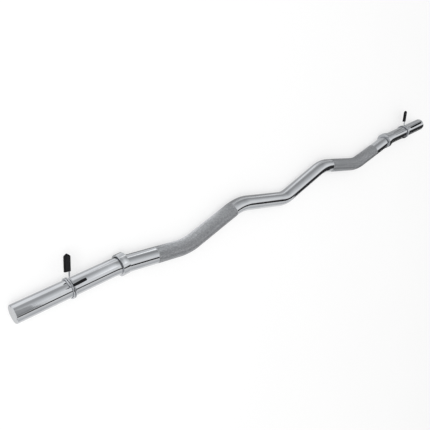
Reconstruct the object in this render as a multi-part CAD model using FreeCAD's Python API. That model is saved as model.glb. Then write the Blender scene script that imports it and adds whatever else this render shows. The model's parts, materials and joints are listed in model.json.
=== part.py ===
import FreeCAD, Part
import math
import os

# A curl bar with angled grips, a stop collar near each end and a spring clip on each sleeve.
# Lengths are in millimetres and angles in degrees. X runs along the bar, and its bends are laid out
# in the XY plane. At the end everything is rolled about X and lifted, as the bar lies on a floor.

Vector = FreeCAD.Vector

# Bar: its size, the stations of its corners from the middle, and how far each corner is off the sleeves' line
bar_length = 1200
bar_diameter = 30
collar_bend_station = 430
low_bend_station = 276
high_bend_station = 136
low_bend_depth = 26
high_bend_height = 10
middle_bend_depth = 25.5
collar_bend_radius = 60
low_bend_radius = 95
high_bend_radius = 85
middle_bend_radius = 65
end_chamfer = 1.2

# Knurled grips: measured along the bent bar, with the pair a little off the middle
knurl_length = 197
knurl_gap = 327
knurl_shift = 4.5
knurl_crest = 0.2

# Stop collars: rings square to the sleeves, set in from the bend's corner and just below the sleeves' line
collar_wall = 3.9
collar_width = 13
collar_setback = 8.4
collar_drop = 0.8
collar_chamfer = 0.5
collar_mouth_depth = 3
collar_mouth_clearance = 0.1

# Spring clips: a coil of round wire whose ends leave it on tangents, lean and fold into hairpins
clip_place_share = 0.47
wire_diameter = 2.6
coil_clearance = 0.15
coil_pitch = 3.1
coil_turns = 2
thumb_angle = 93
finger_angle = 36
arm_sweep = 27
arm_lead = 5
arm_lean = 11
lean_bend_radius = 8
arm_bend_radius = 3
bare_leg_length = 7.5
hairpin_radius = 3
hairpin_tail = 18

# Clip grips: flat soft caps with a pointed top and a blind pocket over each hairpin
grip_length = 28.5
grip_wall = 0.65
grip_face_wall = 0.75
grip_top_pitch = 38
grip_corner_round = 2.4
grip_edge_round = 0.6
pocket_clearance = 0.1

# Shortest run that is drawn, and the spacing of the points that the wire's gap is measured on
least_run = 0.001
gap_point_spacing = 0.5

bar_radius = bar_diameter / 2
knurl_radius = bar_radius + knurl_crest
collar_radius = bar_radius + collar_wall
wire_radius = wire_diameter / 2
coil_radius = bar_radius + coil_clearance + wire_radius
clip_station = collar_bend_station + clip_place_share * (bar_length / 2 - collar_bend_station)
coil_start = finger_angle + arm_sweep
coil_end = thumb_angle - arm_sweep + 360 * coil_turns
coil_half_length = coil_pitch * (coil_end - coil_start) / 360 / 2
pocket_radius = hairpin_radius + wire_radius + pocket_clearance
pocket_thickness = wire_diameter + 2 * pocket_clearance
grip_radius = pocket_radius + grip_wall
grip_thickness = pocket_thickness + 2 * grip_face_wall
grip_top_slope = math.radians(grip_top_pitch)
grip_top_height = (grip_radius - grip_corner_round) / math.cos(grip_top_slope) + grip_corner_round
hairpin_height = grip_length - grip_top_height
along_bar = Vector(1, 0, 0)


def polar(angle, radius, station):
    """The point at an angle round the sleeve's axis, counted from Z towards Y."""
    turn = math.radians(angle)
    return Vector(station, radius * math.sin(turn), radius * math.cos(turn))


def rounded_edges(points, radii):
    """Straight runs through the points, joined by an arc of the given radius at each corner."""
    edges = []
    start = points[0]
    for before, corner, after, radius in zip(points, points[1:], points[2:], radii):
        into = (corner - before).normalize()
        out = (after - corner).normalize()
        turn = into.getAngle(out)
        reach = radius * math.tan(turn / 2)
        first = corner - into * reach
        middle = corner + (out - into).normalize() * (radius / math.cos(turn / 2) - radius)
        last = corner + out * reach
        if start.distanceToPoint(first) > least_run:
            edges.append(Part.LineSegment(start, first).toShape())
        edges.append(Part.Arc(first, middle, last).toShape())
        start = last
    edges.append(Part.LineSegment(start, points[-1]).toShape())
    return edges


def bar_path():
    """The bar's centre line, from the left end to the right end."""
    half = [
        (bar_length / 2, 0),
        (collar_bend_station, 0),
        (low_bend_station, -low_bend_depth),
        (high_bend_station, high_bend_height),
    ]
    left = [Vector(-station, height, 0) for station, height in half]
    right = [Vector(station, height, 0) for station, height in reversed(half)]
    half_radii = [collar_bend_radius, low_bend_radius, high_bend_radius]
    points = left + [Vector(0, -middle_bend_depth, 0)] + right
    return rounded_edges(points, half_radii + [middle_bend_radius] + half_radii[::-1])


def round_piece(edge, first, last, radius):
    """A round solid along one edge, between two lengths from the edge's start."""
    parameter = edge.getParameterByLength(first)
    here = edge.valueAt(parameter)
    heading = edge.tangentAt(parameter)
    disc = Part.Face(Part.Wire(Part.makeCircle(radius, here, heading)))
    if isinstance(edge.Curve, Part.Line):
        return disc.extrude(heading * (last - first))
    centre = edge.Curve.Center
    turn = (last - first) / edge.Curve.Radius
    return disc.revolve(centre, (here - centre).cross(heading), math.degrees(turn))


def bar_stretch(edges, begin, end, radius):
    """The bar between two lengths along its centre line, as one round solid."""
    pieces = []
    passed = 0
    for edge in edges:
        first = max(begin - passed, 0)
        last = min(end - passed, edge.Length)
        if last - first > least_run:
            pieces.append(round_piece(edge, first, last, radius))
        passed += edge.Length
    if len(pieces) == 1:
        return pieces[0]
    return pieces[0].multiFuse(pieces[1:])


def sleeve(edges, begin, end):
    """A straight end of the bar, with its outer rim chamfered."""
    rod = bar_stretch(edges, begin, end, bar_radius)
    rims = [edge for edge in rod.Edges if abs(edge.CenterOfMass.x) > bar_length / 2 - least_run]
    return rod.makeChamfer(end_chamfer, rims)


def bar(edges):
    """The bent bar, thicker by the crests where it is knurled, cut square across into five stretches."""
    total = sum(edge.Length for edge in edges)
    middle = total / 2 + knurl_shift
    left_inner = middle - knurl_gap / 2
    left_outer = left_inner - knurl_length
    right_inner = middle + knurl_gap / 2
    right_outer = right_inner + knurl_length
    left_bend = edges[0].Length
    right_bend = total - edges[-1].Length
    left_slope = bar_stretch(edges, left_bend, left_outer, bar_radius)
    right_slope = bar_stretch(edges, right_outer, right_bend, bar_radius)
    return {
        "bar_left_sleeve": sleeve(edges, 0, left_bend),
        "bar_left_grip": left_slope.fuse(bar_stretch(edges, left_outer, left_inner, knurl_radius)),
        "bar_middle": bar_stretch(edges, left_inner, right_inner, bar_radius),
        "bar_right_grip": right_slope.fuse(bar_stretch(edges, right_inner, right_outer, knurl_radius)),
        "bar_right_sleeve": sleeve(edges, right_bend, total),
    }


def stop_collar(side):
    """A ring whose bore follows the slope behind a mouth round the sleeve's line; side is -1 at the left."""
    corner = Vector(side * collar_bend_station, 0, 0)
    slope = Vector(side * low_bend_station, -low_bend_depth, 0) - corner
    inward = along_bar * -side
    face = corner + inward * collar_setback - Vector(0, collar_drop, 0)
    disc = Part.makeCylinder(collar_radius, collar_width, face, inward)
    rims = [edge for edge in disc.Edges if isinstance(edge.Curve, Part.Circle)]
    bore = Part.makeCylinder(bar_radius, slope.Length, corner, slope)
    mouth_radius = bar_radius + collar_mouth_clearance
    mouth = Part.makeCylinder(mouth_radius, collar_setback + collar_mouth_depth, corner, inward)
    return disc.makeChamfer(collar_chamfer, rims).cut(bore.fuse(mouth))


def arc_from(start, heading, end):
    """The arc that leaves the start along a heading and passes through the end."""
    chord = end - start
    out = (chord - heading * chord.dot(heading)).normalize()
    radius = chord.dot(chord) / (2 * chord.dot(out))
    centre = start + out * radius
    middle = centre + ((start - centre) + (end - centre)).normalize() * radius
    return Part.Arc(start, middle, end).toShape()


def biarc(start, start_heading, end, end_heading):
    """Two arcs in a row that share a heading where they meet."""
    chord = end - start
    cross = chord.dot(start_heading + end_heading)
    spread = 2 * (1 - start_heading.dot(end_heading))
    reach = (math.sqrt(cross ** 2 + spread * chord.dot(chord)) - cross) / spread
    before = start + start_heading * reach
    after = end - end_heading * reach
    joint = (before + after) / 2
    return [arc_from(start, start_heading, joint), arc_from(joint, (after - before).normalize(), end)]


def coil_heading(angle):
    """The wire's direction at an angle round the coil."""
    turn = math.radians(angle)
    rise = coil_pitch / (2 * math.pi)
    return Vector(rise, coil_radius * math.cos(turn), -coil_radius * math.sin(turn)).normalize()


def coil_point(angle):
    """The wire's centre at an angle round the coil."""
    return polar(angle, coil_radius, coil_pitch * (angle - coil_start) / 360 - coil_half_length)


def coil_edges():
    """The coil's turns, in steps of about a quarter turn."""
    steps = math.ceil((coil_end - coil_start) / 90)
    angles = [coil_start + (coil_end - coil_start) * step / steps for step in range(steps + 1)]
    edges = []
    for first, last in zip(angles, angles[1:]):
        edges += biarc(coil_point(first), coil_heading(first), coil_point(last), coil_heading(last))
    return edges


def arm_frame(angle, foot, heading):
    """Where an arm turns outward, its direction from there, and the direction across its grip."""
    lean = math.radians(arm_lean)
    sweep = math.radians(arm_sweep)
    outward = polar(angle, 1, 0)
    lead = foot + heading * arm_lead
    shift = (coil_radius * math.tan(sweep) - arm_lead) * math.tan(lean)
    meet = polar(angle, coil_radius / math.cos(sweep), lead.x + shift)
    leg = outward * math.cos(lean) + along_bar * math.sin(lean)
    across = along_bar * math.cos(lean) - outward * math.sin(lean)
    turn = (meet - lead).getAngle(leg)
    base = meet + leg * (arm_bend_radius * math.tan(turn / 2) + bare_leg_length)
    return lead, meet, base, leg, across


def arm_edges(angle, foot, heading, fold):
    """One arm from the coil to the end of its hairpin, which returns to the side that fold gives."""
    lead, meet, base, leg, across = arm_frame(angle, foot, heading)
    top = base + leg * (hairpin_height + hairpin_radius)
    back = top + across * (fold * 2 * hairpin_radius)
    tip = back - leg * (hairpin_radius + hairpin_tail)
    radii = [lean_bend_radius, arm_bend_radius, hairpin_radius, hairpin_radius]
    return rounded_edges([foot, lead, meet, top, back, tip], radii)


def clip_spring():
    """The clip's wire in one length, from the finger hairpin round the coil to the thumb hairpin."""
    thumb = arm_edges(thumb_angle, coil_point(coil_end), coil_heading(coil_end), -1)
    finger = arm_edges(finger_angle, coil_point(coil_start), -coil_heading(coil_start), 1)
    route = Part.Wire(Part.__sortEdges__(finger + coil_edges() + thumb))
    tail = route.OrderedEdges[0]
    end = tail.FirstParameter
    section = Part.makeCircle(wire_radius, tail.valueAt(end), tail.tangentAt(end))
    spring = route.makePipeShell([Part.Wire(section)], True, False)
    drawn = math.pi * wire_radius ** 2 * route.Length
    print("spring volume over section times length:", spring.Volume / drawn)
    print("spring least gap to itself, mm:", least_gap(route))
    return spring


def least_gap(route):
    """The least clear space between stretches of the wire that are half a hairpin or more apart along it."""
    points = route.discretize(Distance=gap_point_spacing)
    skip = math.ceil(math.pi * hairpin_radius / gap_point_spacing)
    gaps = [
        here.distanceToPoint(there)
        for index, here in enumerate(points)
        for there in points[index + skip:]
    ]
    return min(gaps) - wire_diameter


def rounded_slab(radius, thickness, height):
    """A flat slab from Z = 0 up to a half-round top of the given radius, centred on X and Y."""
    corner = Vector(-radius, -thickness / 2, 0)
    slab = Part.makeBox(2 * radius, thickness, height, corner)
    top = Part.makeCylinder(radius, thickness, Vector(0, -thickness / 2, height), Vector(0, 1, 0))
    return slab.fuse(top).removeSplitter()


def pointed_slab(radius, thickness, height):
    """A flat slab like the rounded one, but with a blunt point over its half-round top."""
    point = height + radius / math.cos(grip_top_slope)
    shoulder = point - radius * math.tan(grip_top_slope)
    face = -thickness / 2
    left = [Vector(-radius, face, 0), Vector(-radius, face, shoulder)]
    right = [Vector(radius, face, shoulder), Vector(radius, face, 0)]
    outline = rounded_edges(left + [Vector(0, face, point)] + right, [grip_corner_round] * 3)
    base = Part.LineSegment(right[-1], left[0]).toShape()
    return Part.Face(Part.Wire(outline + [base])).extrude(Vector(0, thickness, 0))


def clip_grip(angle, foot, heading, fold):
    """A soft cap over one hairpin, rounded at its edges and open at its base."""
    lead, meet, base, leg, across = arm_frame(angle, foot, heading)
    cap = pointed_slab(grip_radius, grip_thickness, hairpin_height)
    rims = [edge for edge in cap.Edges if abs(abs(edge.CenterOfMass.y) - grip_thickness / 2) < least_run]
    cap = cap.makeFillet(grip_edge_round, [edge for edge in rims if edge.BoundBox.ZMax > least_run])
    cap = cap.cut(rounded_slab(pocket_radius, pocket_thickness, hairpin_height))
    turn = FreeCAD.Rotation(across, leg.cross(across), leg, "ZXY")
    cap.Placement = FreeCAD.Placement(base + across * (fold * hairpin_radius), turn)
    return cap


def spring_clip():
    """The wire and both grips of one clip, round the middle of the sleeve's axis."""
    thumb_foot = coil_point(coil_end)
    finger_foot = coil_point(coil_start)
    return {
        "spring": clip_spring(),
        "thumb_grip": clip_grip(thumb_angle, thumb_foot, coil_heading(coil_end), -1),
        "finger_grip": clip_grip(finger_angle, finger_foot, -coil_heading(coil_start), 1),
    }


path = bar_path()
parts = bar(path)
parts["left_stop_collar"] = stop_collar(-1)
parts["right_stop_collar"] = stop_collar(1)
for piece, shape in spring_clip().items():
    parts["left_clip_" + piece] = shape.translated(Vector(-clip_station, 0, 0))
    parts["right_clip_" + piece] = shape.translated(Vector(clip_station, 0, 0))

# The bar lies on its two collars and its two lowest bends, which sets its roll and the sleeves' height
lowest_path_depth = -Part.Wire(path).BoundBox.YMin
roll = math.asin((collar_radius - knurl_radius) / (lowest_path_depth - collar_drop))
sleeve_height = collar_radius + collar_drop * math.sin(roll)
print("roll in degrees and sleeve height in mm:", math.degrees(roll), sleeve_height)

os.makedirs("parts", exist_ok=True)
for node, shape in parts.items():
    shape = shape.rotated(Vector(0, 0, 0), along_bar, math.degrees(roll))
    shape = shape.translated(Vector(0, 0, sleeve_height))
    shape.exportStep("parts/" + node + ".step")
    print(node, shape.ShapeType, len(shape.Solids), shape.isValid(), shape.Volume)
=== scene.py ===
import json
import math

import bmesh
import bpy
from mathutils import Matrix, Vector


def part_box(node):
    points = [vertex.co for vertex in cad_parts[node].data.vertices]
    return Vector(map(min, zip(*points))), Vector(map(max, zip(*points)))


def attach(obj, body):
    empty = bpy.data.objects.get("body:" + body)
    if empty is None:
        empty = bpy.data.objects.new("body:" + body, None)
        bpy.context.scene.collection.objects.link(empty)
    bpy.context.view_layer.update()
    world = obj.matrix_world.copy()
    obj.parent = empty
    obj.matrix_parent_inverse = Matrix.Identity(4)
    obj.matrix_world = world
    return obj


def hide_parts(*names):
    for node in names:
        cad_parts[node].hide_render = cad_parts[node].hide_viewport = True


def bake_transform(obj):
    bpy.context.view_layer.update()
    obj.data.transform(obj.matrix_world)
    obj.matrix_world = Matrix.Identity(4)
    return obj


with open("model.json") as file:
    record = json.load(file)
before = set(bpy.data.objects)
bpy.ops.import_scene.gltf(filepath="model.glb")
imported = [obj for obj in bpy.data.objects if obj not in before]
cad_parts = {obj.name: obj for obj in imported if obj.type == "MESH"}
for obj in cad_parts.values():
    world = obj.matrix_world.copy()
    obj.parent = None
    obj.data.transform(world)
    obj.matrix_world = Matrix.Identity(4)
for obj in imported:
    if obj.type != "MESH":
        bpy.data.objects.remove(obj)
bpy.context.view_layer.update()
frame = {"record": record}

# The bar is one length of round steel, bent cold in one plane and chrome plated after its grips were rolled
# with a diamond knurl. It lies on its two collars and its two lowest bends, which tips the bends' plane.
# Lengths are in metres. Each bend is a station along the bar and a place off the sleeves' line.
millimetres_in_metre = 1000
mounts = {mount["name"]: mount for mount in frame["record"]["mounts"]}
sleeve_height = mounts["left_sleeve"]["pos_m"][2]
collar_drop = Vector((0, 0, sleeve_height)) - Vector(mounts["left_stop_face"]["pos_m"])
roll = math.atan2(collar_drop.z, collar_drop.y)
as_it_lies = Matrix.Translation((0, 0, sleeve_height)) @ Matrix.Rotation(roll, 4, "X")
bar_radius = mounts["left_sleeve"]["dims"]["r_mm"] / millimetres_in_metre
half_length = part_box("bar_right_sleeve")[1].x
collar_bend = (0.430, 0.0)
low_bend = (0.276, -0.026)
high_bend = (0.136, 0.010)
middle_bend = (0.0, -0.0255)
bend_radii = (0.060, 0.095, 0.085)
middle_bend_radius = 0.065
end_chamfer = 0.0012
knurl_length = 0.197
knurl_gap = 0.327
knurl_shift = 0.0045
knurl_crest = 0.00012
knurl_groove = 0.00009
knurl_step = 0.0008
plain_step = 0.005
plain = 0.0
rolled = 1.0
bar_columns = 118
crease_angle = math.radians(30)
end_facing = 0.999


def runs_through(corners, radii):
    """Straight runs and bends through the corners, each as its length, start, heading and bend, if any."""
    runs = []
    start = corners[0]
    for before, corner, after, radius in zip(corners, corners[1:], corners[2:], radii):
        into = (corner - before).normalized()
        out = (after - corner).normalized()
        turn = into.angle(out)
        reach = radius * math.tan(turn / 2)
        first = corner - into * reach
        runs.append(((first - start).length, start, into, None))
        runs.append((radius * turn, first, into, ((out - into * out.dot(into)).normalized(), radius)))
        start = corner + out * reach
    runs.append(((corners[-1] - start).length, start, out, None))
    return runs


def place_on(runs, distance):
    """The point at a distance along the runs."""
    for length, start, heading, bend in runs:
        if distance <= length:
            break
        distance -= length
    else:
        distance += length
    if bend is None:
        return start + heading * distance
    inward, radius = bend
    turn = distance / radius
    return start + heading * (radius * math.sin(turn)) + inward * (radius * (1 - math.cos(turn)))


def spaced(first, last, step):
    """Even stations from the first up to, but not at, the last."""
    rounding = 1e-6
    count = math.ceil((last - first) / step - rounding)
    return [first + (last - first) * index / count for index in range(count)]


def bar_rows():
    """The bar's rows along its centre line, close together where it is knurled."""
    half = [(half_length, 0.0), collar_bend, low_bend, high_bend]
    corners = [Vector((-station, height, 0)) for station, height in half]
    corners += [Vector((*middle_bend, 0))]
    corners += [Vector((station, height, 0)) for station, height in reversed(half)]
    runs = runs_through(corners, [*bend_radii, middle_bend_radius, *reversed(bend_radii)])
    total = sum(run[0] for run in runs)
    middle = total / 2 + knurl_shift
    inner = (middle - knurl_gap / 2, middle + knurl_gap / 2)
    outer = (inner[0] - knurl_length, inner[1] + knurl_length)
    stretches = [
        (end_chamfer, outer[0], plain_step, plain), (outer[0], inner[0], knurl_step, rolled),
        (inner[0], inner[1], plain_step, plain), (inner[1], outer[1], knurl_step, rolled),
        (outer[1], total - end_chamfer, plain_step, plain),
    ]
    stations = [(0.0, bar_radius - end_chamfer, plain)]
    for first, last, step, knurled in stretches:
        stations += [(station, bar_radius, knurled) for station in spaced(first, last - knurl_step, step)]
        stations.append((last - knurl_step, bar_radius, knurled))
    stations += [(total - end_chamfer, bar_radius, plain), (total, bar_radius - end_chamfer, plain)]
    return [(as_it_lies @ place_on(runs, station), radius, knurled) for station, radius, knurled in stations]


def add_node(tree, kind, feeds, **settings):
    """A node in a tree, with its settings and what feeds each of its inputs."""
    made = tree.nodes.new(kind)
    for name, value in settings.items():
        setattr(made, name, value)
    for name, feed in feeds.items():
        if isinstance(feed, bpy.types.NodeSocket):
            tree.links.new(feed, made.inputs[name])
        else:
            made.inputs[name].default_value = feed
    return made


def sums(tree, operation, first, second=0.0):
    """The result of a sum on one or two numbers in a tree."""
    return add_node(tree, "ShaderNodeMath", {0: first, 1: second}, operation=operation).outputs[0]


def round_stock_tree():
    """Sweeps a round section along a centre line and raises a diamond knurl where the line says so."""
    halfway = (plain + rolled) / 2
    tree = bpy.data.node_groups.new("Round stock", "GeometryNodeTree")
    inputs = {"Centre Line": "Geometry", "Columns": "Int", "Crest": "Float", "Groove": "Float",
              "Plain Finish": "Material", "Knurl Finish": "Material", "End Finish": "Material"}
    for name, kind in inputs.items():
        tree.interface.new_socket(name, in_out="INPUT", socket_type="NodeSocket" + kind)
    tree.interface.new_socket("Stock", in_out="OUTPUT", socket_type="NodeSocketGeometry")
    given = tree.nodes.new("NodeGroupInput").outputs
    normal = tree.nodes.new("GeometryNodeInputNormal").outputs[0]
    index = tree.nodes.new("GeometryNodeInputIndex").outputs[0]
    line = add_node(tree, "GeometryNodeMeshToCurve", {"Mesh": given["Centre Line"]})
    radius = add_node(tree, "GeometryNodeInputNamedAttribute", {"Name": "stock_radius"})
    knurled = add_node(tree, "GeometryNodeInputNamedAttribute", {"Name": "knurled"}).outputs[0]
    section = add_node(tree, "GeometryNodeCurvePrimitiveCircle", {
        "Resolution": given["Columns"], "Radius": 1.0})
    swept = add_node(tree, "GeometryNodeCurveToMesh", {
        "Curve": line.outputs[0], "Profile Curve": section.outputs[0],
        "Scale": radius.outputs[0], "Fill Caps": True})
    row = sums(tree, "FLOOR", sums(tree, "DIVIDE", index, given["Columns"]))
    column = sums(tree, "FLOORED_MODULO", index, given["Columns"])
    odd = sums(tree, "FLOORED_MODULO", sums(tree, "ADD", row, column), 2.0)
    crest = sums(tree, "MULTIPLY", knurled, sums(tree, "SUBTRACT", 1.0, odd))
    groove = sums(tree, "MULTIPLY", knurled, odd)
    rise = sums(tree, "SUBTRACT", sums(tree, "MULTIPLY", crest, given["Crest"]),
                sums(tree, "MULTIPLY", groove, given["Groove"]))
    marked = add_node(tree, "GeometryNodeStoreNamedAttribute", {
        "Geometry": swept.outputs[0], "Name": "crest", "Value": crest}, domain="POINT", data_type="FLOAT")
    outward = add_node(tree, "ShaderNodeVectorMath", {0: normal, "Scale": rise}, operation="SCALE")
    raised = add_node(tree, "GeometryNodeSetPosition", {
        "Geometry": marked.outputs[0], "Offset": outward.outputs[0]})
    rough = sums(tree, "GREATER_THAN", knurled, halfway)
    facets = add_node(tree, "GeometryNodeTriangulate", {
        "Mesh": raised.outputs[0], "Selection": rough}, quad_method="SHORTEST_DIAGONAL")
    smooth = sums(tree, "LESS_THAN", knurled, halfway)
    faced = add_node(tree, "GeometryNodeSetShadeSmooth", {
        "Geometry": facets.outputs[0], "Shade Smooth": smooth}, domain="FACE")
    angle = tree.nodes.new("GeometryNodeInputMeshEdgeAngle").outputs["Unsigned Angle"]
    shallow = sums(tree, "LESS_THAN", angle, crease_angle)
    edged = add_node(tree, "GeometryNodeSetShadeSmooth", {
        "Geometry": faced.outputs[0], "Shade Smooth": shallow}, domain="EDGE")
    shape = add_node(tree, "GeometryNodeRealizeInstances", {"Geometry": edged.outputs[0]})
    along = add_node(tree, "ShaderNodeSeparateXYZ", {0: normal}).outputs["X"]
    end = sums(tree, "GREATER_THAN", sums(tree, "ABSOLUTE", along), end_facing)
    for finish, chosen in (("Plain Finish", True), ("End Finish", end), ("Knurl Finish", rough)):
        shape = add_node(tree, "GeometryNodeSetMaterial", {
            "Geometry": shape.outputs[0], "Selection": chosen, "Material": given[finish]})
    add_node(tree, "NodeGroupOutput", {0: shape.outputs[0]})
    return tree


def put_in(name, data):
    """A mesh, lamp or camera as an object in the scene."""
    made = bpy.data.objects.new(name, data)
    bpy.context.scene.collection.objects.link(made)
    return made


def draw_stock(name, rows, inputs):
    """A closed mesh of round stock, from rows of centre, radius and knurl, with the tree's inputs by name."""
    centres, radii, knurls = zip(*rows)
    line = bpy.data.meshes.new(name + "_line")
    line.from_pydata(centres, [(index, index + 1) for index in range(len(rows) - 1)], [])
    for attribute, values in (("stock_radius", radii), ("knurled", knurls)):
        line.attributes.new(attribute, "FLOAT", "POINT").data.foreach_set("value", values)
    stock = put_in(name, line)
    maker = stock.modifiers.new("Round stock", "NODES")
    maker.node_group = round_stock
    for socket in round_stock.interface.items_tree:
        if socket.name in inputs:
            maker[socket.identifier] = inputs[socket.name]
    bpy.context.view_layer.update()
    drawn = bpy.data.meshes.new_from_object(stock.evaluated_get(bpy.context.evaluated_depsgraph_get()))
    stock.modifiers.clear()
    stock.data = drawn
    drawn.name = name
    return stock


def new_finish(name, metal):
    """A material with its node tree, its shader and the piece's own coordinates."""
    finish = bpy.data.materials.new(name)
    finish.use_nodes = True
    tree = finish.node_tree
    shader = tree.nodes["Principled BSDF"]
    shader.inputs["Metallic"].default_value = metal
    return finish, tree, shader, tree.nodes.new("ShaderNodeTexCoord").outputs["Object"]


def mottle(tree, place, scale, low=0.0, high=1.0, detail=4.0):
    """A soft random spread of a number between two values over the piece."""
    usual_low = 0.3
    usual_high = 0.7
    noise = add_node(tree, "ShaderNodeTexNoise", {"Vector": place, "Scale": scale, "Detail": detail})
    spread = add_node(tree, "ShaderNodeMapRange", {
        "Value": noise.outputs["Fac"], "From Min": usual_low, "From Max": usual_high,
        "To Min": low, "To Max": high})
    return spread.outputs["Result"]


def tone(tree, share, dark, light):
    """A colour between a dark and a light one."""
    mix = add_node(tree, "ShaderNodeMix", {"Factor": share}, data_type="RGBA")
    for socket in mix.inputs:
        if socket.type == "RGBA":
            socket.default_value = (*(dark if socket.name == "A" else light), 1)
    return next(socket for socket in mix.outputs if socket.type == "RGBA")


def dress(tree, shader, depth, colour, roughness, relief):
    """Feeds a shader its colour, its roughness and a fine relief, which is a share of a depth."""
    bump = add_node(tree, "ShaderNodeBump", {"Height": relief, "Distance": depth}).outputs[0]
    for name, feed in (("Base Color", colour), ("Roughness", roughness), ("Normal", bump)):
        tree.links.new(feed, shader.inputs[name])


def chrome_plate():
    """Bright plate with a faint haze and the fine lines that the polishing belt leaves round the bar."""
    hazy = (0.52, 0.53, 0.55)
    bright = (0.57, 0.58, 0.595)
    belt_scale = (6000.0, 60.0, 60.0)
    ripple_depth = 0.00003
    finish, tree, shader, place = new_finish("chrome_plate", metal=1.0)
    belt = add_node(tree, "ShaderNodeMapping", {"Vector": place, "Scale": belt_scale}).outputs[0]
    dress(tree, shader, ripple_depth,
          colour=tone(tree, mottle(tree, place, scale=35.0), hazy, bright),
          roughness=mottle(tree, belt, scale=1.0, low=0.05, high=0.09),
          relief=mottle(tree, place, scale=70.0, detail=1.0))
    return finish


def knurl_plate():
    """The same plate on the rolled diamonds: bright on the crests, with painted shade in the grooves, crests
    varied at random.
    """
    # The dull colour is painted shade in the grooves between the diamonds; the crests' brightness varies at
    # random.
    dull = (0.27, 0.275, 0.285)
    bright = (0.58, 0.59, 0.605)
    grain_depth = 0.00002
    finish, tree, shader, place = new_finish("knurl_plate", metal=1.0)
    crest = add_node(tree, "ShaderNodeAttribute", {}, attribute_name="crest").outputs["Fac"]
    groove_shade_and_crest_wear = sums(tree, "MULTIPLY", crest, mottle(tree, place, scale=300.0, low=0.3, high=1.3, detail=2.0))
    dress(tree, shader, grain_depth,
          colour=tone(tree, groove_shade_and_crest_wear, dull, bright),
          roughness=mottle(tree, place, scale=900.0, low=0.34, high=0.48),
          relief=mottle(tree, place, scale=2500.0))
    return finish


def turned_end():
    """The bar's end face: turned flat, with fine rings about the bar's axis, then plated."""
    dull = (0.47, 0.48, 0.495)
    bright = (0.55, 0.56, 0.57)
    ring_depth = 0.00001
    finish, tree, shader, place = new_finish("turned_end", metal=1.0)
    centred = add_node(tree, "ShaderNodeMapping", {
        "Vector": place, "Location": (0, 0, -sleeve_height)}).outputs[0]
    rings = add_node(tree, "ShaderNodeTexWave", {
        "Vector": centred, "Scale": 420.0, "Distortion": 0.6, "Detail": 2.0, "Detail Scale": 3.0},
        wave_type="RINGS", rings_direction="X").outputs["Fac"]
    dress(tree, shader, ring_depth,
          colour=tone(tree, rings, dull, bright),
          roughness=mottle(tree, place, scale=300.0, low=0.30, high=0.40),
          relief=rings)
    return finish


round_stock = round_stock_tree()
chrome = chrome_plate()
bar = draw_stock("bent_bar", bar_rows(), {
    "Columns": bar_columns, "Crest": knurl_crest, "Groove": knurl_groove,
    "Plain Finish": chrome, "Knurl Finish": knurl_plate(), "End Finish": turned_end()})
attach(bar, "bar")
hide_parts("bar_left_sleeve", "bar_left_grip", "bar_middle", "bar_right_grip", "bar_right_sleeve")

# The stop collars are plain turned steel rings with broken edges, welded on where the first slope starts.
# Their outer faces are square to the sleeves, their bores follow the slope, and they are plated with the bar.
collar_width = 0.013
collar_wall = 0.0039
collar_edge = 0.0005
collar_mouth_clearance = 0.0001
collar_columns = 96
collar_edge_steps = 4


def collar_rim():
    """The ring's outside as stations along its axis and radii, with round edges."""
    rim = []
    for corner, first_turn in ((collar_edge, math.pi), (collar_width - collar_edge, math.pi / 2)):
        for step in range(collar_edge_steps + 1):
            turn = first_turn - math.pi / 2 * step / collar_edge_steps
            station = corner + collar_edge * math.cos(turn)
            rim.append((station, bar_radius + collar_wall - collar_edge + collar_edge * math.sin(turn)))
    return rim


def reach_in_rod(start, way, on_axis, axis, radius):
    """How far it is from a start inside a round rod to its surface, along a way."""
    lever = start - on_axis
    side_way = way - axis * way.dot(axis)
    side_lever = lever - axis * lever.dot(axis)
    along = side_way.dot(side_lever)
    across = side_way.length_squared
    return (math.sqrt(along ** 2 - across * (side_lever.length_squared - radius ** 2)) - along) / across


def turned_ring(name, face, outward):
    """A closed ring from its outer face inward, its bore on the first slope, its mouth round the sleeve."""
    side = math.copysign(1, outward.x)
    corner = as_it_lies @ Vector((side * collar_bend[0], collar_bend[1], 0))
    slope = (as_it_lies @ Vector((side * low_bend[0], low_bend[1], 0)) - corner).normalized()
    back = face - outward * collar_width
    rim = collar_rim()
    points = []
    for column in range(collar_columns):
        turn = side * 2 * math.pi * column / collar_columns
        way = Vector((0, math.cos(turn), math.sin(turn)))
        face_bore, back_bore = [reach_in_rod(end, way, corner, slope, bar_radius) for end in (face, back)]
        mouth = reach_in_rod(face, way, corner, outward, bar_radius + collar_mouth_clearance)
        points.append(face + way * max(face_bore, mouth))
        points += [face - outward * station + way * radius for station, radius in rim]
        points.append(back + way * back_bore)
    count = len(points) // collar_columns
    faces = []
    for column in range(collar_columns):
        here = column * count
        there = (column + 1) % collar_columns * count
        for row in range(count):
            after = (row + 1) % count
            faces.append((here + row, here + after, there + after, there + row))
    mesh = bpy.data.meshes.new(name)
    mesh.from_pydata(points, [], faces)
    mesh.shade_smooth()
    mesh.set_sharp_from_angle(angle=crease_angle)
    return put_in(name, mesh)


for side in ("left", "right"):
    stop = mounts[side + "_stop_face"]
    collar = turned_ring(side + "_collar", Vector(stop["pos_m"]), Vector(stop["axis"]))
    collar.data.materials.append(chrome)
    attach(collar, "bar")
    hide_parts(side + "_stop_collar")

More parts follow.
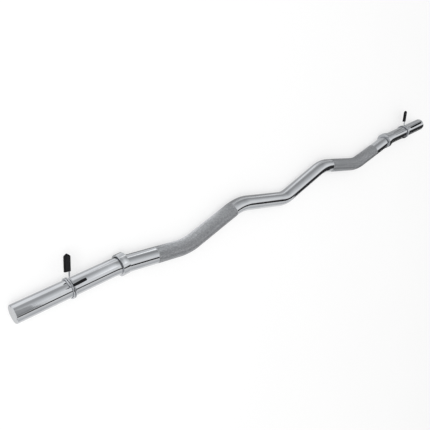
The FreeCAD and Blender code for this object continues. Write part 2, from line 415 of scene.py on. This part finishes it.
# The clip's spring is one length of hard drawn wire, plated bright. It is wound about two turns round the
# sleeve, and its ends run off the coil on tangents, lean over and fold into hairpins that fill the grips.
# Squeezing the arms opens the coil. Angles round the sleeve are in degrees.
full_turn = 360
quarter_turn = 90
wire_radius = 0.0013
coil_clearance = 0.00015
coil_radius = bar_radius + coil_clearance + wire_radius
coil_pitch = 0.0031
coil_turns = 2
thumb_angle = 93
finger_angle = 36
arm_sweep = 27
arm_lead = 0.005
arm_lean = math.radians(11)
lean_bend_radius = 0.008
arm_bend_radius = 0.003
bare_leg_length = 0.0075
hairpin_radius = 0.003
hairpin_tail = 0.018
pocket_clearance = 0.0001
grip_length = 0.0285
grip_wall = 0.00065
grip_corner = 0.0024
grip_top_pitch = math.radians(38)
grip_radius = hairpin_radius + wire_radius + pocket_clearance + grip_wall
hairpin_height = grip_length - grip_corner - (grip_radius - grip_corner) / math.cos(grip_top_pitch)
wire_columns = 20
wire_step = 0.0006
coil_step = 5
lap_angle = 14
lap_shrink = 0.00002
coil_start = finger_angle + arm_sweep
coil_end = thumb_angle - arm_sweep + full_turn * coil_turns
coil_middle = (coil_start + coil_end) / 2
coil_half_length = coil_pitch * (coil_end - coil_start) / full_turn / 2
clip_arms = (("thumb", thumb_angle, coil_end, 1), ("finger", finger_angle, coil_start, -1))
along_bar = Vector((1, 0, 0))
joints = frame["record"]["behaviour"]["joints"]
pivots = {joint["name"]: Vector(joint["pos_m"]) for joint in joints if "pos_m" in joint}


def spoke(angle):
    """The direction at an angle round the sleeve, from the bends' normal towards the side they rise to."""
    return Vector((0, math.sin(math.radians(angle)), math.cos(math.radians(angle))))


def coil_point(angle):
    """The wire's centre at an angle round the coil."""
    station = coil_pitch * (angle - coil_start) / full_turn - coil_half_length
    return spoke(angle) * coil_radius + along_bar * station


def coil_heading(angle):
    """The wire's direction at an angle round the coil."""
    rise = coil_pitch / (2 * math.pi)
    return (spoke(angle + quarter_turn) * coil_radius + along_bar * rise).normalized()


def arm_corners(angle, coil_angle, way):
    """Where an arm starts to lean, and where it turns outward."""
    sweep = math.radians(arm_sweep)
    lead = coil_point(coil_angle) + coil_heading(coil_angle) * way * arm_lead
    lean_shift = (coil_radius * math.tan(sweep) - arm_lead) * math.tan(arm_lean)
    meet = spoke(angle) * (coil_radius / math.cos(sweep)) + along_bar * (lead.x + lean_shift)
    return lead, meet


def grip_seat(angle, coil_angle, way):
    """The base of an arm's grip, the arm's direction there and the direction across it."""
    lead, meet = arm_corners(angle, coil_angle, way)
    leg = spoke(angle) * math.cos(arm_lean) + along_bar * math.sin(arm_lean)
    across = along_bar * math.cos(arm_lean) - spoke(angle) * math.sin(arm_lean)
    turn = (meet - lead).angle(leg)
    base = meet + leg * (arm_bend_radius * math.tan(turn / 2) + bare_leg_length)
    return base, leg, across


def arm_rows(angle, coil_angle, way):
    """Rows of one arm: a lap inside the coil's end, then the lean, the turn outward and the hairpin."""
    lead, meet = arm_corners(angle, coil_angle, way)
    base, leg, across = grip_seat(angle, coil_angle, way)
    top = base + leg * (hairpin_height + hairpin_radius)
    back = top - across * (way * 2 * hairpin_radius)
    tip = back - leg * (hairpin_radius + hairpin_tail)
    runs = runs_through([coil_point(coil_angle), lead, meet, top, back, tip],
                        [lean_bend_radius, arm_bend_radius, hairpin_radius, hairpin_radius])
    lap = [coil_point(coil_angle - way * turn) for turn in spaced(lap_angle, 0, -coil_step)]
    rows = [(point, wire_radius - lap_shrink, plain) for point in lap]
    length = sum(run[0] for run in runs)
    return rows + [(place_on(runs, station), wire_radius, plain) for station in spaced(0, length, wire_step)]


def clip_place(side):
    """Where a side's clip stands on its sleeve at rest, as the bar lies."""
    return Matrix.Translation(along_bar * pivots[side + "_thumb_squeeze"].x) @ as_it_lies


def spring_wire():
    """Bright drawn wire: faint streaks and a slightly soft shine."""
    dull = (0.46, 0.47, 0.49)
    bright = (0.60, 0.61, 0.63)
    streak_depth = 0.000006
    finish, tree, shader, place = new_finish("spring_wire", metal=1.0)
    dress(tree, shader, streak_depth,
          colour=tone(tree, mottle(tree, place, scale=450.0), dull, bright),
          roughness=mottle(tree, place, scale=1500.0, low=0.14, high=0.24),
          relief=mottle(tree, place, scale=1200.0))
    return finish


wire_finish = spring_wire()
wire_inputs = {"Columns": wire_columns, "Crest": 0.0, "Groove": 0.0, "Plain Finish": wire_finish,
               "Knurl Finish": wire_finish, "End Finish": wire_finish}
for side in ("left", "right"):
    on_sleeve = clip_place(side)
    for part, angle, coil_angle, way in clip_arms:
        turns = spaced(coil_middle, coil_angle, way * coil_step) + [coil_angle]
        coil_rows = [(on_sleeve @ coil_point(turn), wire_radius, plain) for turn in turns]
        coil = draw_stock(side + "_clip_coil_" + part, coil_rows, wire_inputs)
        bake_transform(coil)
        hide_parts(side + "_clip_spring")
        rows = [(on_sleeve @ point, *rest) for point, *rest in arm_rows(angle, coil_angle, way)]
        arm = draw_stock(side + "_clip_arm_" + part, rows, wire_inputs)
        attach(arm, side + "_" + part + "_grip")

# The clip's grips are flat caps of soft black vinyl, moulded with a raised rim round a sunk panel on each
# face. Each is pushed over its hairpin, and its pocket is open at the base.
grip_face_wall = 0.00075
grip_thickness = 2 * (wire_radius + pocket_clearance + grip_face_wall)
least_corner = 0.0002
grip_edge = 0.0006
grip_rim = 0.0013
panel_depth = 0.0003
panel_slope = 0.0004
rim_mark = 0.0
panel_mark = 1.0
grip_corner_steps = 6
grip_edge_steps = 4
pocket_steps = 5
grip_crease = math.radians(35)


def grip_outline(inset):
    """The cap's outline in its own width and height, with a blunt point on top, moved inward by an inset."""
    half_width = grip_radius - inset
    corner = max(grip_corner - inset, least_corner)
    reach = half_width - corner
    shoulder = hairpin_height + reach * (1 - math.sin(grip_top_pitch)) / math.cos(grip_top_pitch)
    point = hairpin_height + reach / math.cos(grip_top_pitch)
    slant = math.pi / 2 - grip_top_pitch
    outline = [(-half_width, inset), (half_width, inset)]
    for across, up, first, last in ((reach, shoulder, 0.0, slant), (0.0, point, slant, math.pi - slant),
                                    (-reach, shoulder, math.pi - slant, math.pi)):
        for step in range(grip_corner_steps + 1):
            turn = first + (last - first) * step / grip_corner_steps
            outline.append((across + corner * math.cos(turn), up + corner * math.sin(turn)))
    return outline


def grip_levels():
    """Insets and depths from the cap's side wall to its sunk panel, each marked as rim or panel."""
    half = grip_thickness / 2
    levels = []
    for step in range(grip_edge_steps + 1):
        turn = math.pi / 2 * step / grip_edge_steps
        levels.append((grip_edge * (1 - math.cos(turn)), half - grip_edge * (1 - math.sin(turn)), rim_mark))
    return levels + [(grip_rim, half, rim_mark), (grip_rim + panel_slope, half - panel_depth, panel_mark)]


def open_pocket(shape, base_face):
    """Opens a cap's base and lines its pocket up from there, square along its sides and round at its top."""
    half_pocket = grip_radius - grip_wall
    half_depth = grip_thickness / 2 - grip_face_wall
    rings = [(half_pocket, 0.0), (half_pocket, hairpin_height)]
    for step in range(1, pocket_steps):
        turn = math.pi / 2 * step / pocket_steps
        rings.append((half_pocket * math.cos(turn), hairpin_height + half_pocket * math.sin(turn)))
    mouth = list(base_face.verts)
    shape.faces.remove(base_face)
    outer = mouth
    for half_width, up in rings:
        ring = []
        for corner in mouth:
            across = math.copysign(half_width, corner.co.x)
            ring.append(shape.verts.new((across, math.copysign(half_depth, corner.co.y), up)))
        for index in range(len(mouth)):
            after = (index + 1) % len(mouth)
            shape.faces.new((outer[index], outer[after], ring[after], ring[index]))
        outer = ring
    shape.faces.new(outer)


def moulded_cap(name, placed):
    """A closed cap with both faces' rims and panels, and its pocket up from the base."""
    shape = bmesh.new()
    panel = shape.verts.layers.float.new("panel")
    levels = grip_levels()
    loops = []
    for inset, depth, mark in [(inset, -depth, mark) for inset, depth, mark in reversed(levels)] + levels:
        loop = []
        for across, up in grip_outline(inset):
            corner = shape.verts.new((across, depth, up))
            corner[panel] = mark
            loop.append(corner)
        loops.append(loop)
    count = len(loops[0])
    base_face = None
    for lower, upper in zip(loops, loops[1:]):
        for index in range(count):
            after = (index + 1) % count
            wall = shape.faces.new((lower[index], lower[after], upper[after], upper[index]))
            if index == 0 and lower is loops[len(levels) - 1]:
                base_face = wall
    shape.faces.new(reversed(loops[0]))
    shape.faces.new(loops[-1])
    open_pocket(shape, base_face)
    bmesh.ops.transform(shape, matrix=placed, verts=shape.verts)
    bmesh.ops.recalc_face_normals(shape, faces=shape.faces)
    mesh = bpy.data.meshes.new(name)
    shape.to_mesh(mesh)
    shape.free()
    mesh.shade_smooth()
    mesh.set_sharp_from_angle(angle=grip_crease)
    return put_in(name, mesh)


def black_vinyl():
    """Soft black vinyl with a fine moulded grain, a little paler on the sunk panels."""
    dark = (0.002, 0.002, 0.0024)
    pale = (0.016, 0.016, 0.018)
    rim_paleness = 0.35
    grain_depth = 0.000012
    finish, tree, shader, place = new_finish("black_vinyl", metal=0.0)
    shader.inputs["Specular IOR Level"].default_value = 0.08
    sunk = add_node(tree, "ShaderNodeAttribute", {}, attribute_name="panel").outputs["Fac"]
    patch = mottle(tree, place, scale=260.0, low=0.5, high=1.0)
    paleness = sums(tree, "MULTIPLY", sums(tree, "ADD", sunk, rim_paleness), patch)
    grain = add_node(tree, "ShaderNodeTexNoise", {"Vector": place, "Scale": 2600.0, "Detail": 3.0})
    dress(tree, shader, grain_depth,
          colour=tone(tree, paleness, dark, pale),
          roughness=mottle(tree, place, scale=700.0, low=0.38, high=0.55),
          relief=grain.outputs["Fac"])
    return finish


vinyl = black_vinyl()
for side in ("left", "right"):
    for part, angle, coil_angle, way in clip_arms:
        base, leg, across = grip_seat(angle, coil_angle, way)
        axes = Matrix((across, leg.cross(across), leg)).transposed().to_4x4()
        seat = Matrix.Translation(base - across * (way * hairpin_radius))
        cap = moulded_cap(side + "_clip_" + part + "_cap", clip_place(side) @ seat @ axes)
        cap.data.materials.append(vinyl)
        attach(cap, side + "_" + part + "_grip")
        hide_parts(side + "_clip_" + part + "_grip")

# The floor is a plain pale sheet that the bar lies on, matt and very lightly mottled.
# It reads as white to the camera and in the chrome, and it keeps the bar's soft shadow.
white = (1, 1, 1, 1)
floor_reach = 30.0
floor_greys = ((0.50, 0.50, 0.50), (0.51, 0.51, 0.51))
floor_glow = 0.52


def seen_straight_on(tree):
    """One for rays from the camera, from a mirror or through glass, and zero for the rest."""
    rays = tree.nodes.new("ShaderNodeLightPath").outputs
    straight = sums(tree, "MAXIMUM", rays["Is Camera Ray"], rays["Is Glossy Ray"])
    return sums(tree, "MAXIMUM", straight, rays["Is Transmission Ray"])


def pale_floor():
    """Matt pale grey that glows up to white where it is seen straight on."""
    finish, tree, shader, place = new_finish("pale_floor", metal=0.0)
    shader.inputs["Specular IOR Level"].default_value = 0.0
    shader.inputs["Roughness"].default_value = 1.0
    shader.inputs["Emission Color"].default_value = white
    glow = sums(tree, "MULTIPLY", seen_straight_on(tree), floor_glow)
    tree.links.new(tone(tree, mottle(tree, place, scale=3.0), *floor_greys), shader.inputs["Base Color"])
    tree.links.new(glow, shader.inputs["Emission Strength"])
    return finish


floor_corners = [(x * floor_reach, y * floor_reach, 0) for x, y in ((-1, -1), (1, -1), (1, 1), (-1, 1))]
floor_mesh = bpy.data.meshes.new("floor")
floor_mesh.from_pydata(floor_corners, [], [range(len(floor_corners))])
floor_mesh.materials.append(pale_floor())
floor = put_in("floor", floor_mesh)

# The light is a white room with one large soft lamp behind the camera. As in a studio, cards are bowed over
# the bar, all out of the camera's sight, and give the chrome its dark lines and its bright edges. Other
# glowing sheets lie flat on the floor beside the bar, seen only in the chrome. They are a painted reflection
# of the floor there, with painted shade for the bar's own shadow and painted highlights in places. Stations
# run along the bar, and a card's angles are in degrees from straight up.
world_light = 0.68
lamp_size = 2.4
lamp_power = 50
lamp_place = Vector((-2.2, 0.6, 2.6))
card_tints = (0.97, 0.985, 1.0)
card_steps = 24
floor_shade_height = 0.001
beside_bar = 0.008
far_shade_and_light_reach = 0.6
low_shade_reach = 0.4
plain_shade = ((0.0, 1.0),)
grey_card_levels = (
    (-3.0, 1.02), (0.06, 1.02), (0.25, 1.4), (0.4, 1.2), (0.5, 0.98),
    (0.65, 0.86), (1.45, 0.74), (1.9, 0.88), (3.2, 0.82), (6.0, 0.8))
black_card_edges = ((-3.0, -15), (0.3, -15), (0.6, -14.5), (1.1, -17), (1.5, -17), (2.2, -12), (8.0, -12))
white_card_edges = ((-3.0, -33), (0.1, -33), (1.5, -48), (1.7, -90))
end_card_edges = ((-3.0, 50), (-0.26, 48), (-0.22, 40), (-0.19, 8), (-0.16, -12))
# Rows of the sheets on the floor, each a station, a reach and a level: levels under one are painted shade,
# and levels over one are painted highlights, as the chrome sees them.
edge_shade_and_light_rows = (
    (-0.62, 0.038, 0.72), (-0.44, 0.038, 0.72), (-0.41, 0.026, 0.30), (-0.33, 0.026, 0.35),
    (-0.30, 0.04, 1.5), (-0.19, 0.04, 1.5), (-0.16, 0.075, 0.42), (0.0, 0.075, 0.42),
    (0.03, 0.045, 0.62), (0.13, 0.045, 0.62), (0.16, 0.075, 0.45), (0.29, 0.075, 0.45),
    (0.33, 0.06, 0.85), (0.42, 0.06, 0.7), (0.46, 0.075, 0.55), (0.70, 0.075, 0.55))
far_shade_and_light_rows = (
    (-0.62, 0.038, 1.25), (-0.42, 0.038, 1.2), (-0.39, 0.026, 0.82), (-0.32, 0.026, 0.85),
    (-0.28, 0.04, 1.8), (-0.17, 0.04, 1.6), (-0.12, 0.075, 0.62), (0.03, 0.075, 0.62),
    (0.06, 0.045, 1.15), (0.17, 0.045, 1.15), (0.22, 0.075, 0.5), (0.33, 0.075, 0.5),
    (0.37, 0.06, 1.0), (0.47, 0.06, 0.9), (0.53, 0.075, 0.5), (0.90, 0.075, 0.5))
low_shade_levels = ((0.34, 0.03), (0.90, 0.03))


def bowed_row(station, radius, low, high, level=1.0):
    """A row of a card that is bowed round the bar, between two angles from straight up, with its level."""
    turns = [math.radians(low + (high - low) * step / card_steps) for step in range(card_steps + 1)]
    row = [(station, radius * math.sin(turn), sleeve_height + radius * math.cos(turn)) for turn in turns]
    return row, level


def floor_shade_row(station, near, far, level):
    """A row of a sheet of painted floor shade and light beside the bar, between two distances from its
    middle, with its level.
    """
    centres = [centre for centre, radius, knurled in bar_rows()]
    middle = min(centres, key=lambda centre: abs(centre.x - station)).y
    return [(station, middle + near, floor_shade_height), (station, middle + far, floor_shade_height)], level


def card_glow(name, shades):
    """A glow with a card's shades across its rows, from the first shade to white at the rows' ends."""
    finish = bpy.data.materials.new(name)
    finish.use_nodes = True
    tree = finish.node_tree
    tree.nodes.clear()
    share = add_node(tree, "ShaderNodeAttribute", {}, attribute_name="share").outputs["Fac"]
    level = add_node(tree, "ShaderNodeAttribute", {}, attribute_name="level").outputs["Fac"]
    ramp = add_node(tree, "ShaderNodeValToRGB", {"Fac": share})
    stops = ramp.color_ramp.elements
    for place, shade in shades:
        stop = stops.new(place) if place > 0 else stops[0]
        stop.color = (*[shade * tint for tint in card_tints], 1)
    glow = add_node(tree, "ShaderNodeEmission", {"Color": ramp.outputs["Color"], "Strength": level})
    add_node(tree, "ShaderNodeOutputMaterial", {"Surface": glow.outputs[0]})
    return finish


def lit_card(name, rows, shades):
    """A glowing card through rows of points, each row with its level, seen only in the chrome."""
    count = len(rows[0][0])
    points = [point for row, level in rows for point in row]
    faces = []
    for here in range(0, len(points) - count, count):
        there = here + count
        faces += [(here + step, here + step + 1, there + step + 1, there + step) for step in range(count - 1)]
    mesh = bpy.data.meshes.new(name)
    mesh.from_pydata(points, [], faces)
    shares = [step / (count - 1) for row in rows for step in range(count)]
    levels = [level for row, level in rows for point in row]
    for attribute, values in (("share", shares), ("level", levels)):
        mesh.attributes.new(attribute, "FLOAT", "POINT").data.foreach_set("value", values)
    mesh.materials.append(card_glow(name, shades))
    card = put_in(name, mesh)
    card.visible_camera = False
    card.visible_diffuse = False
    card.visible_shadow = False


world = bpy.data.worlds.new("white_room")
bpy.context.scene.world = world
world.use_nodes = True
sky = world.node_tree.nodes["Background"]
sky.inputs["Color"].default_value = white
sky_level = add_node(world.node_tree, "ShaderNodeMapRange", {
    "Value": seen_straight_on(world.node_tree), "To Min": world_light, "To Max": 1.0})
world.node_tree.links.new(sky_level.outputs["Result"], sky.inputs["Strength"])

soft_box = [bowed_row(station, radius=1.6, low=-30, high=20) for station in (-3.0, 8.0)]
lit_card("soft_box", soft_box, shades=((0.0, 1.2),))
grey_card = [bowed_row(station, radius=1.5, low=12, high=96, level=level)
             for station, level in grey_card_levels]
lit_card("grey_card", grey_card, shades=((0.0, 1.2), (0.25, 0.9), (0.6, 0.53), (0.8, 0.53)))
black_card = [bowed_row(station, radius=1.55, low=-95, high=edge) for station, edge in black_card_edges]
lit_card("black_card", black_card, shades=((0.0, 0.04), (0.9, 0.04)))
white_card = [bowed_row(station, radius=1.5, low=-95, high=edge) for station, edge in white_card_edges]
lit_card("white_card", white_card, shades=((0.0, 0.74), (0.5, 0.74)))
# These three sheets on the floor paint the chrome's reflection of the floor beside the bar: painted shade,
# and painted highlights where their level is over one.
edge_shade_and_light_card = [floor_shade_row(station, beside_bar, far, level) for station, far, level in edge_shade_and_light_rows]
lit_card("edge_shade_and_light_card", edge_shade_and_light_card, plain_shade)
far_shade_and_light_card = [floor_shade_row(station, near, far_shade_and_light_reach, level) for station, near, level in far_shade_and_light_rows]
lit_card("far_shade_and_light_card", far_shade_and_light_card, plain_shade)
low_shade_card = [floor_shade_row(station, -beside_bar, -low_shade_reach, level) for station, level in low_shade_levels]
lit_card("low_shade_card", low_shade_card, plain_shade)
end_card = [bowed_row(station, radius=1.45, low=-15, high=edge, level=0.48)
            for station, edge in end_card_edges]
lit_card("end_card", end_card, shades=((0.0, 0.5), (0.3, 0.9), (0.8, 1.0)))

lamp_data = bpy.data.lights.new("soft_lamp", "AREA")
lamp_data.size = lamp_size
lamp_data.energy = lamp_power
lamp = put_in("soft_lamp", lamp_data)
lamp.location = lamp_place
lamp.rotation_euler = (-lamp_place).to_track_quat("-Z", "Y").to_euler()

# The camera stands over the left end and looks along the bar, with the bends' plane nearly upright in the
# picture. Its lens, place and aim are fitted to the bar's edges, in the frame of the bends.
lens_length = 41.961
sensor_width = 36.0
camera_place = Vector((-0.77186, 0.42783, 0.63289))
camera_back = Vector((-0.6008, 0.44037, 0.66717)).normalized()
nearly_up = Vector((0.33446, 0.89653, -0.2906))
camera_right = nearly_up.cross(camera_back).normalized()
camera_up = camera_back.cross(camera_right)
aim = Matrix((camera_right, camera_up, camera_back)).transposed().to_4x4()
camera_data = bpy.data.cameras.new("camera")
camera_data.sensor_width = sensor_width
camera_data.lens = lens_length
camera = put_in("camera", camera_data)
camera.matrix_world = as_it_lies @ Matrix.Translation(camera_place) @ aim
bpy.context.scene.camera = camera
bpy.context.scene.view_settings.view_transform = "Standard"
